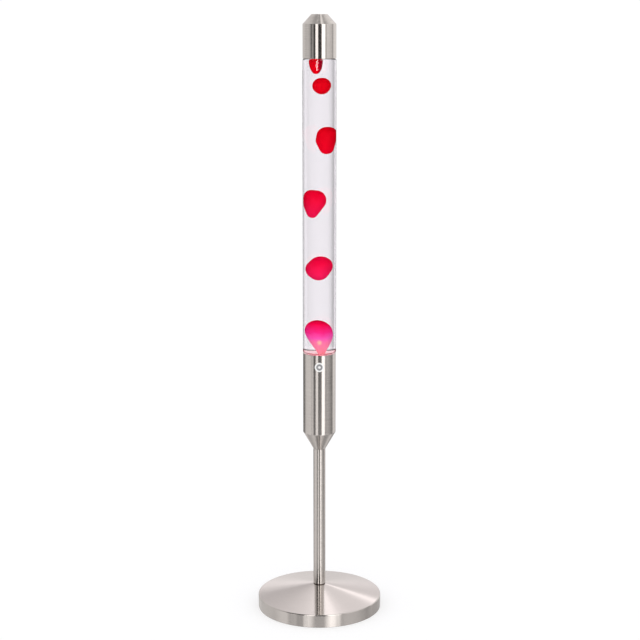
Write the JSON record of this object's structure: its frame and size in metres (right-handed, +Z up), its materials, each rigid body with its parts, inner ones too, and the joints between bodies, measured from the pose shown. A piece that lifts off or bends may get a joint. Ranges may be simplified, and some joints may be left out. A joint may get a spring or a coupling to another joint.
{
  "type": "floor-standing lava lamp",
  "caption": "Slim floor-standing lava lamp: long glass tube of clear liquid and red wax between steel cylinders, on a thin pole and a weighted round base.",
  "frame": {"origin": "centre of the base on the floor", "axes": "+Z up the lamp's axis; the emblem plate faces -Y, the cord gland faces +Y"},
  "size_m": [0.23, 0.2313, 1.099],
  "materials": {
    "brushed_stainless": "fine brushed, satin",
    "zinc_steel": "zinc plated",
    "cast_ballast": "painted casting",
    "black_rubber": "matt",
    "cream_nylon": "moulded",
    "black_nylon": "moulded",
    "brass_fittings": "turned",
    "white_enamel": "gloss enamel",
    "white_ceramic": "unglazed steatite",
    "reflector_aluminium": "spun, bright",
    "clear_silicone": "translucent",
    "lead_sheath": "silicone sheath",
    "quartz_glass": "clear",
    "nickel_pins": "nickel plated",
    "tungsten_wire": "drawn wire",
    "bottle_glass": "clear, polished",
    "lamp_liquid": "clear liquid",
    "red_wax": "glossy molten wax",
    "lit_wax": "glossy molten wax, lit from below"
  },
  "bodies": {
    "stand": {"base_cover": "brushed_stainless", "ballast_disc": "cast_ballast", "bottom_plate": "zinc_steel", "plate_screws": "zinc_steel", "foot_pads": "black_rubber", "cord_gland": "black_rubber", "cord_saddle": "cream_nylon", "terminal_block": "cream_nylon", "terminal_sleeves": "brass_fittings", "wiring_screws": "zinc_steel", "base_stud": "brass_fittings", "base_washer": "zinc_steel", "lock_washers": "zinc_steel", "stud_nuts": "zinc_steel", "foot_bush": "zinc_steel", "pole": "brushed_stainless", "top_bush": "zinc_steel", "housing_stud": "brass_fittings", "lamp_housing": "brushed_stainless", "emblem_plate": "white_enamel", "holder_plate": "zinc_steel", "standoffs": "brass_fittings", "lamp_holder": "white_ceramic", "holder_contacts": "brass_fittings", "reflector": "reflector_aluminium", "holder_screws": "zinc_steel", "support_ring": "zinc_steel", "seat_ring": "clear_silicone", "inner_lead": "lead_sheath"},
    "bulb": {"capsule_glass": "quartz_glass", "capsule_pins": "nickel_pins", "capsule_filament": "tungsten_wire"},
    "bottle": {"bottle_glass": "bottle_glass", "neck_liner": "cream_nylon", "neck_crown": "zinc_steel", "liquid": "lamp_liquid", "heating_coil": "zinc_steel", "wax_column": "lit_wax"},
    "cap": {"top_cap": "brushed_stainless", "cap_liner": "black_nylon"},
    "wax_1": {"wax_blob_1": "red_wax"},
    "wax_2": {"wax_blob_2": "red_wax"},
    "wax_3": {"wax_blob_3": "red_wax"},
    "wax_4": {"wax_blob_4": "red_wax"},
    "wax_5": {"wax_blob_5": "red_wax"}
  },
  "joints": [
    {"name": "bottle_lift", "type": "slide", "parent": "stand", "child": "bottle", "axis": [0, 0, 1], "range_m": [0, 0.12]},
    {"name": "cap_lift", "type": "slide", "parent": "bottle", "child": "cap", "axis": [0, 0, 1], "range_m": [0, 0.09]},
    {"name": "bulb_pull", "type": "slide", "parent": "stand", "child": "bulb", "axis": [0, 0, 1], "range_m": [0, 0.008]},
    {"name": "wax_1_drift", "type": "slide", "parent": "bottle", "child": "wax_1", "axis": [0, 0, 1], "range_m": [-0.003, 0], "deforming": ["liquid"]},
    {"name": "wax_2_drift", "type": "slide", "parent": "bottle", "child": "wax_2", "axis": [0, 0, 1], "range_m": [-0.028, 0.001], "deforming": ["liquid"]},
    {"name": "wax_3_drift", "type": "slide", "parent": "bottle", "child": "wax_3", "axis": [0, 0, 1], "range_m": [-0.031, 0.027], "deforming": ["liquid"]},
    {"name": "wax_4_drift", "type": "slide", "parent": "bottle", "child": "wax_4", "axis": [0, 0, 1], "range_m": [-0.034, 0.031], "deforming": ["liquid"]},
    {"name": "wax_5_drift", "type": "slide", "parent": "bottle", "child": "wax_5", "axis": [0, 0, 1], "range_m": [-0.035, 0.034], "deforming": ["liquid"]}
  ]
}
